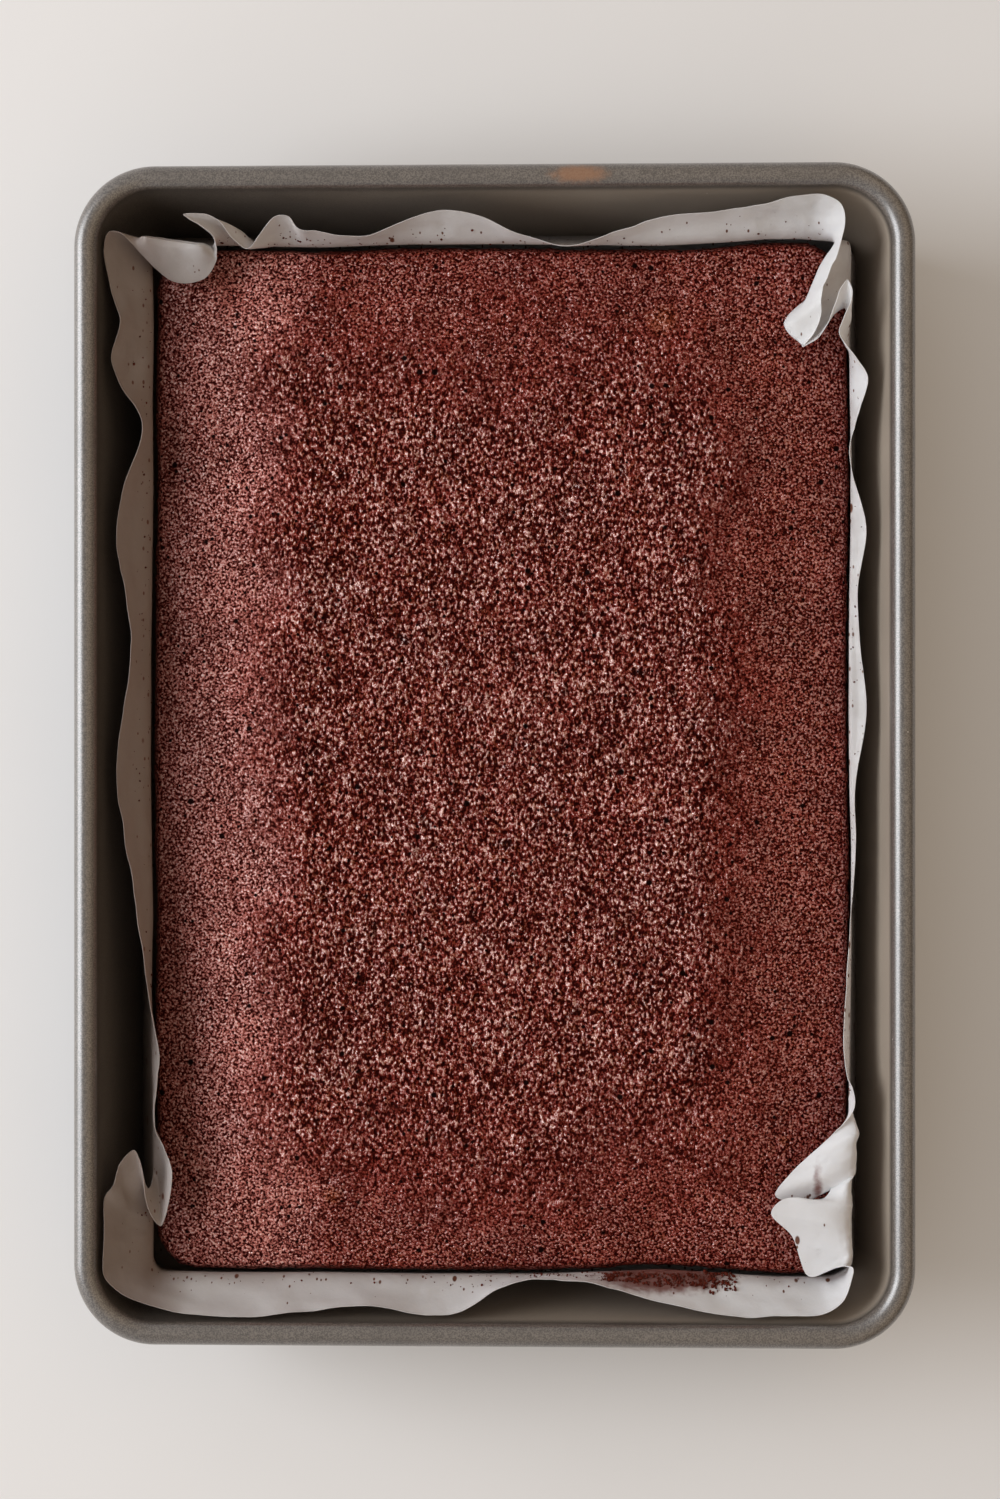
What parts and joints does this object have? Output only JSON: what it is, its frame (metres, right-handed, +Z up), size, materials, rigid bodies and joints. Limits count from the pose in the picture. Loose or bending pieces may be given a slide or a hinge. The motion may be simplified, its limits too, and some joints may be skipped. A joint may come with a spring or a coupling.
{
  "type": "chocolate sheet cake in a baking pan",
  "caption": "Uncut chocolate sheet cake in its rectangular metal baking pan with a rolled rim, lined with baking paper whose wavy edge is folded at the corners.",
  "frame": {"origin": "under the middle of the pan, on the surface that the pan stands on", "axes": "+Z up, +Y along the pan's length, +X across it"},
  "size_m": [0.248, 0.3484, 0.054],
  "materials": {
    "pan_metal": "satin",
    "baking_paper": "matte",
    "chocolate_cake": "satin"
  },
  "bodies": {
    "root": {"pan": "pan_metal", "liner": "baking_paper", "cake": "chocolate_cake"}
  },
  "joints": []
}
